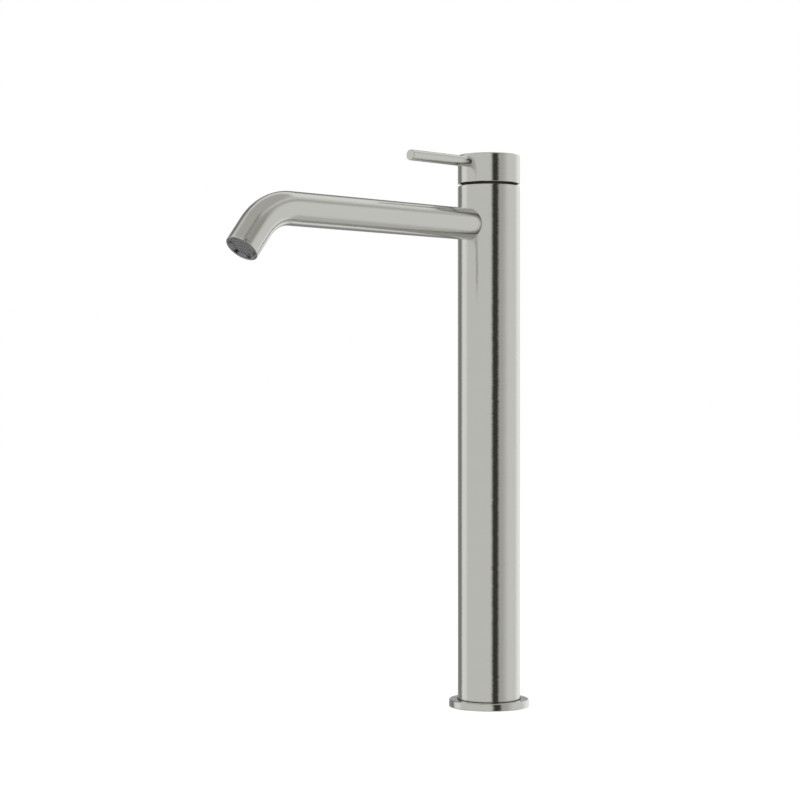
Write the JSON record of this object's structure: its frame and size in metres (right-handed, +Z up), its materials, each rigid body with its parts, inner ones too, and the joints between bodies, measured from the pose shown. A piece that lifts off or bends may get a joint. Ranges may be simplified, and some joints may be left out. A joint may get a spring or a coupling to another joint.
{
  "type": "basin mixer tap",
  "caption": "Tall single-lever basin mixer: slim round column on a thin foot plate, straight round spout bent down at its end, tilting and turning cap with a pin lever.",
  "frame": {"origin": "centre of the base face, where the foot stands on the basin or worktop", "axes": "+Z up along the column, -Y the way the spout and the lever point, +X to the right of someone who looks along +Y"},
  "size_m": [0.0514, 0.2429, 0.3546],
  "materials": {
    "brushed_nickel": "satin, brushed round the column and along the spout, slightly warm",
    "brass": "machined, bare",
    "steel": "machined stainless steel",
    "rubber": "matt black",
    "black_plastic": "fine matt",
    "grey_plastic": "satin moulded",
    "white_plastic": "satin moulded",
    "ceramic": "ground and lapped"
  },
  "bodies": {
    "mixer_body": {"base_flange": "brushed_nickel", "column_tube": "brushed_nickel", "spout_tube": "brushed_nickel", "foot_insert": "brass", "hot_riser": "brass", "cold_riser": "brass", "valve_body": "brass", "spout_adapter": "brass", "cartridge_nut": "brass", "spout_screw": "steel", "aerator_screen": "steel", "base_gasket": "rubber", "foot_seal": "rubber", "riser_seals": "rubber", "spout_seals": "rubber", "aerator_seal": "rubber", "cartridge_seals": "rubber", "shell_seal": "rubber", "dome_cover": "black_plastic", "aerator_body": "grey_plastic", "aerator_grid": "grey_plastic", "cartridge_base": "white_plastic", "cartridge_shell": "white_plastic", "lower_disc": "ceramic"},
    "carrier": {"turning_carrier": "white_plastic", "pivot_pin": "steel"},
    "handle": {"handle_cap": "brushed_nickel", "lever_rod": "brushed_nickel", "stem_adapter": "brass", "adapter_screw": "steel", "cartridge_stem": "brass"},
    "sliding_disc": {"disc_slider": "white_plastic", "upper_disc": "ceramic"}
  },
  "joints": [
    {"name": "handle_turn", "type": "hinge", "parent": "mixer_body", "child": "carrier", "pos_m": [0, 0, 0.31885], "axis": [0, 0, 1], "range_deg": [-45, 45]},
    {"name": "handle_lift", "type": "hinge", "parent": "carrier", "child": "handle", "pos_m": [0, 0, 0.31885], "axis": [-1, 0, 0], "range_deg": [0, 20]},
    {"name": "disc_slide", "type": "slide", "parent": "carrier", "child": "sliding_disc", "axis": [0, -1, 0], "range_m": [0, 0.0026]}
  ],
  "couplings": [
    {"joint": "disc_slide", "follows": "handle_lift", "m_per_rad": 0.0074466}
  ]
}
